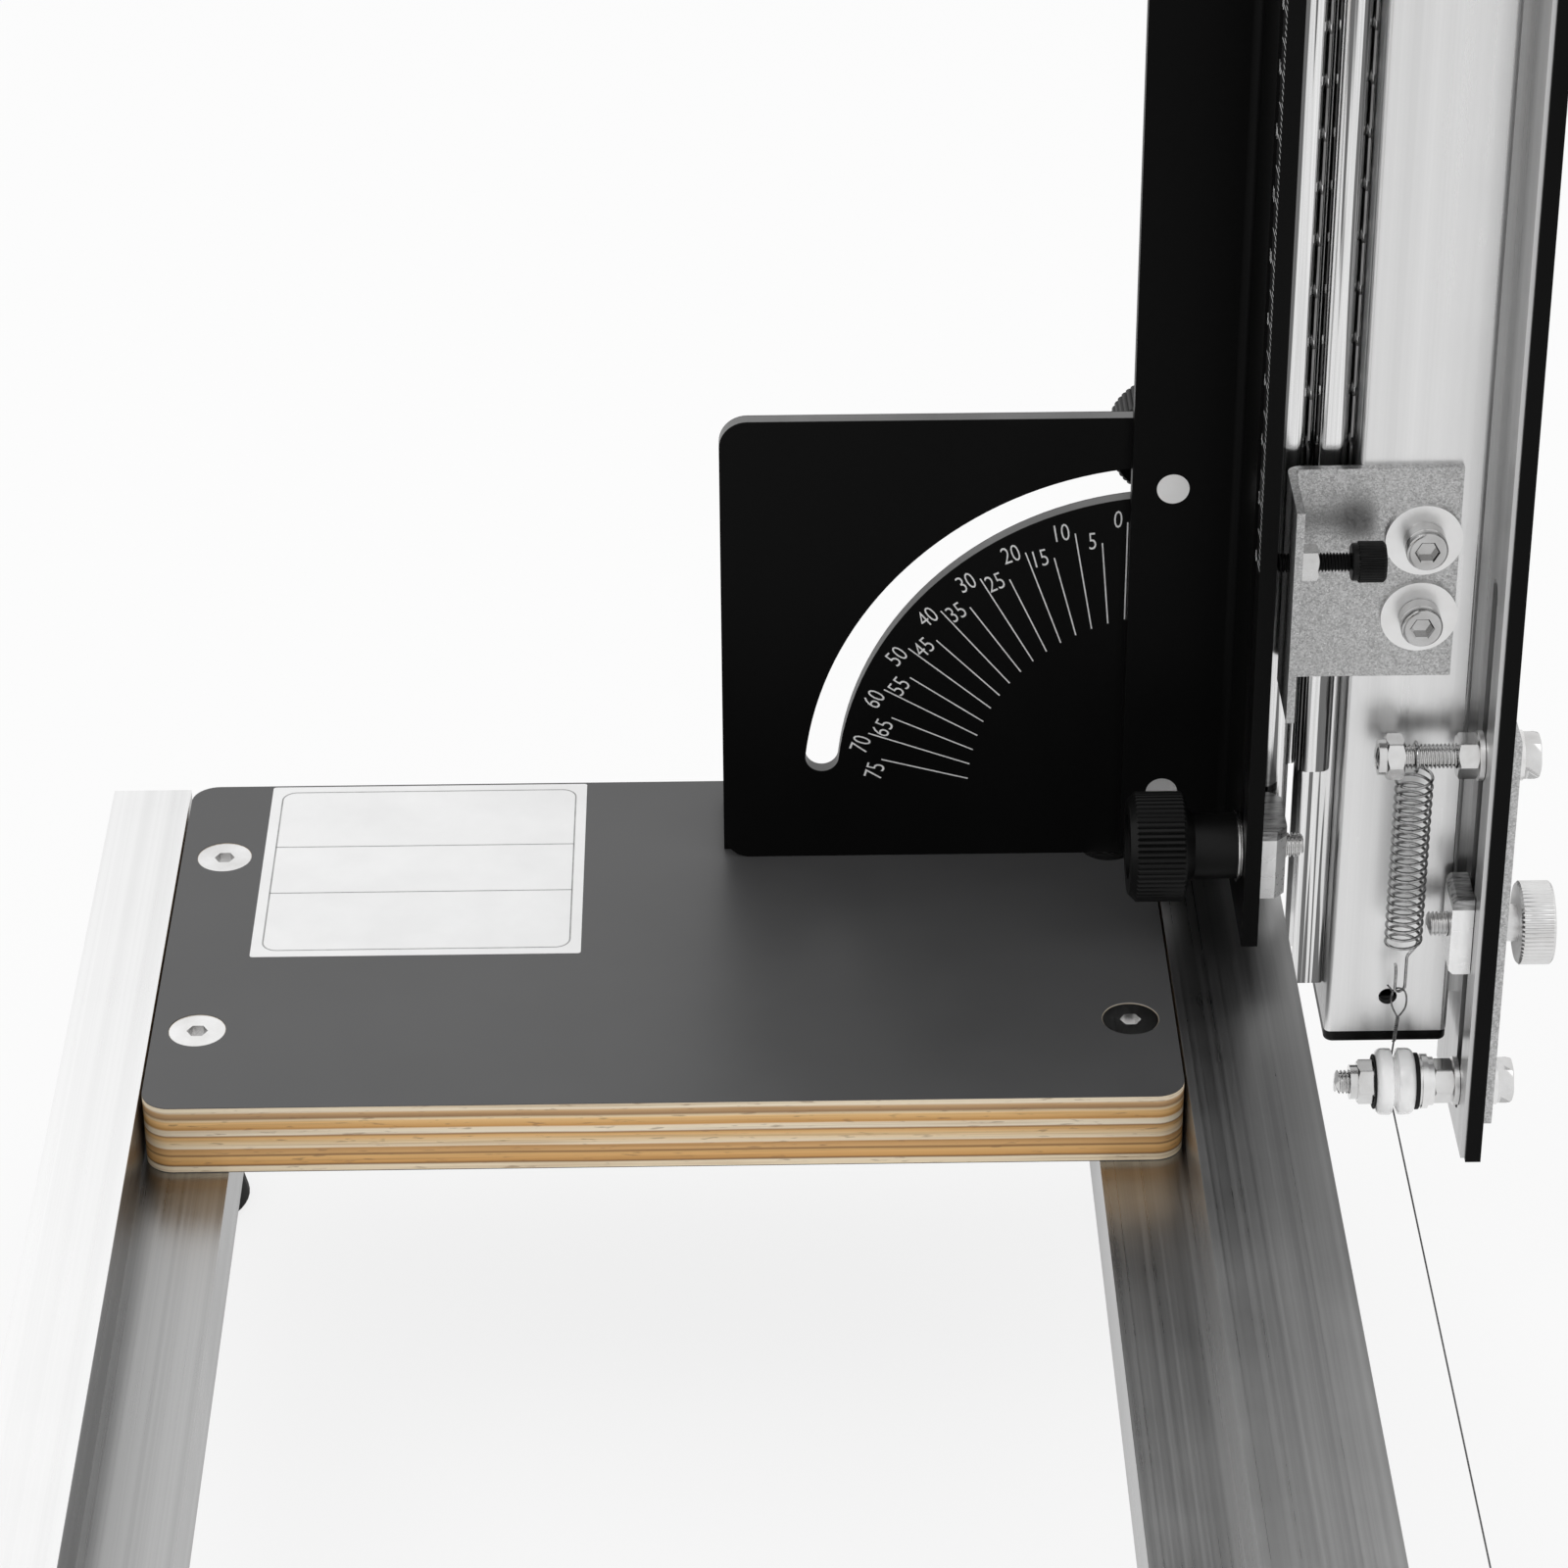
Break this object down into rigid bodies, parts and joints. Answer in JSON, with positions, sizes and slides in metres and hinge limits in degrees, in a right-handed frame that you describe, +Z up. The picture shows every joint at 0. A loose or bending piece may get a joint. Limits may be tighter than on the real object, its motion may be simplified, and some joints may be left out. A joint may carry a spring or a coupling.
{
  "type": "hot wire cutter",
  "caption": "Bench hot wire cutter for foam boards: a tilting bow on telescopic slides carries a taut heated wire past a rail bench with boards, protractor plates and depth stops.",
  "frame": {"origin": "middle of the footprint, on the ground under the feet", "axes": "+X across the bench towards the cutting wire, +Y along the rails towards the far end, +Z up"},
  "size_m": [0.475, 1.2, 0.682],
  "materials": {
    "aluminium_bright": "bright mill finish with extrusion lines",
    "aluminium_grey": "anodised, satin",
    "film_ply": "dark film-faced plywood with pale layered edges",
    "zinc": "bright zinc plating",
    "galvanised": "mottled galvanised sheet",
    "black_coat": "black satin powder coat",
    "black_plastic": "matt moulded plastic",
    "black_rubber": "matt rubber",
    "chrome": "polished slide steel",
    "steel": "bright steel",
    "roller_ceramic": "off-white unglazed",
    "spring_steel": "polished spring wire",
    "resistance_wire": "bare resistance wire"
  },
  "bodies": {
    "frame": {"rail_left": "aluminium_bright", "rail_right": "aluminium_grey", "board_far": "film_ply", "board_near": "film_ply", "board_screws": "zinc", "protractor_far": "black_coat", "protractor_near": "black_coat", "plate_screws": "zinc", "cross_beam_far": "aluminium_grey", "cross_beam_near": "aluminium_grey", "beam_bolts": "zinc", "foot_pads": "black_rubber", "foot_stems": "zinc"},
    "mast": {"mast_far": "black_coat", "mast_near": "black_coat", "mast_studs": "steel", "stud_washers": "zinc", "pivot_nuts": "zinc", "slide_outers": "chrome"},
    "mitre_knob_far": {"mitre_knob_far": "black_plastic"},
    "mitre_knob_near": {"mitre_knob_near": "black_plastic"},
    "stop_far": {"stop_block_far": "galvanised"},
    "stop_near": {"stop_block_near": "galvanised"},
    "stop_knob_far": {"stop_knob_far": "black_plastic", "stop_screw_far": "zinc"},
    "stop_knob_near": {"stop_knob_near": "black_plastic", "stop_screw_near": "zinc"},
    "slide_middle": {"slide_middles": "chrome"},
    "outer_cage": {"outer_cages": "steel"},
    "inner_cage": {"inner_cages": "steel"},
    "bow": {"arm_far": "aluminium_grey", "arm_near": "aluminium_grey", "bow_beam": "aluminium_grey", "tube_caps": "black_plastic", "slide_inners": "chrome", "corner_angles": "galvanised", "bracket_far": "galvanised", "bracket_near": "galvanised", "bracket_screws": "zinc", "bracket_washers": "zinc", "lock_nuts": "zinc", "wire_plate_far": "black_coat", "wire_plate_near": "black_coat", "plate_liners": "aluminium_bright", "grip": "black_plastic", "bow_screws": "zinc"},
    "lock_screw_far": {"lock_screw_far": "black_plastic"},
    "lock_screw_near": {"lock_screw_near": "black_plastic"},
    "carriage": {"carriage_strips": "galvanised", "clamp_blocks": "steel", "carriage_bolts": "zinc", "carriage_nuts": "zinc", "carriage_washers": "zinc", "spring": "spring_steel", "hot_wire": "resistance_wire"},
    "roller_far": {"roller_far": "roller_ceramic"},
    "roller_near": {"roller_near": "roller_ceramic"},
    "wire_knob_far": {"wire_knob_far": "steel"},
    "wire_knob_near": {"wire_knob_near": "steel"}
  },
  "joints": [
    {"name": "mitre_tilt", "type": "hinge", "parent": "frame", "child": "mast", "pos_m": [0.1158, 0, 0.1812], "axis": [0, -1, 0], "range_deg": [0, 75]},
    {"name": "mitre_knob_far_turn", "type": "hinge", "parent": "mast", "child": "mitre_knob_far", "pos_m": [0.1158, 0.56, 0.2926], "axis": [0, 1, 0], "range_deg": [0, 360]},
    {"name": "mitre_knob_near_turn", "type": "hinge", "parent": "mast", "child": "mitre_knob_near", "pos_m": [0.1158, -0.56, 0.2926], "axis": [0, -1, 0], "range_deg": [0, 360]},
    {"name": "stop_slide_far", "type": "slide", "parent": "mast", "child": "stop_far", "axis": [0, 0, 1], "range_m": [0, 0.045]},
    {"name": "stop_slide_near", "type": "slide", "parent": "mast", "child": "stop_near", "axis": [0, 0, 1], "range_m": [0, 0.045]},
    {"name": "stop_knob_far_turn", "type": "hinge", "parent": "stop_far", "child": "stop_knob_far", "pos_m": [0.1235, 0.5, 0.1885], "axis": [-1, 0, 0], "range_deg": [0, 360]},
    {"name": "stop_knob_near_turn", "type": "hinge", "parent": "stop_near", "child": "stop_knob_near", "pos_m": [0.1235, -0.5, 0.1885], "axis": [-1, 0, 0], "range_deg": [0, 360]},
    {"name": "bow_slide", "type": "slide", "parent": "mast", "child": "bow", "axis": [0, 0, 1], "range_m": [-0.045, 0.3]},
    {"name": "slide_middle_run", "type": "slide", "parent": "mast", "child": "slide_middle", "axis": [0, 0, 1], "range_m": [-0.0225, 0.15]},
    {"name": "outer_cage_run", "type": "slide", "parent": "mast", "child": "outer_cage", "axis": [0, 0, 1], "range_m": [-0.01125, 0.075]},
    {"name": "inner_cage_run", "type": "slide", "parent": "mast", "child": "inner_cage", "axis": [0, 0, 1], "range_m": [-0.03375, 0.225]},
    {"name": "lock_screw_far_turn", "type": "hinge", "parent": "bow", "child": "lock_screw_far", "pos_m": [0.1585, 0.4915, 0.295], "axis": [1, 0, 0], "range_deg": [0, 360]},
    {"name": "lock_screw_near_turn", "type": "hinge", "parent": "bow", "child": "lock_screw_near", "pos_m": [0.1585, -0.4915, 0.295], "axis": [1, 0, 0], "range_deg": [0, 360]},
    {"name": "carriage_slide", "type": "slide", "parent": "bow", "child": "carriage", "axis": [0, 0, 1], "range_m": [-0.005, 0.02]},
    {"name": "roller_far_turn", "type": "hinge", "parent": "carriage", "child": "roller_far", "pos_m": [0.1905, 0.497, 0.099], "axis": [1, 0, 0], "continuous": true},
    {"name": "roller_near_turn", "type": "hinge", "parent": "carriage", "child": "roller_near", "pos_m": [0.1905, -0.497, 0.099], "axis": [1, 0, 0], "continuous": true},
    {"name": "wire_knob_far_turn", "type": "hinge", "parent": "carriage", "child": "wire_knob_far", "pos_m": [0.2285, 0.497, 0.16], "axis": [1, 0, 0], "range_deg": [0, 360]},
    {"name": "wire_knob_near_turn", "type": "hinge", "parent": "carriage", "child": "wire_knob_near", "pos_m": [0.2285, -0.497, 0.16], "axis": [1, 0, 0], "range_deg": [0, 360]}
  ],
  "couplings": [
    {"joint": "slide_middle_run", "follows": "bow_slide", "ratio": 0.5},
    {"joint": "outer_cage_run", "follows": "bow_slide", "ratio": 0.25},
    {"joint": "inner_cage_run", "follows": "bow_slide", "ratio": 0.75}
  ]
}
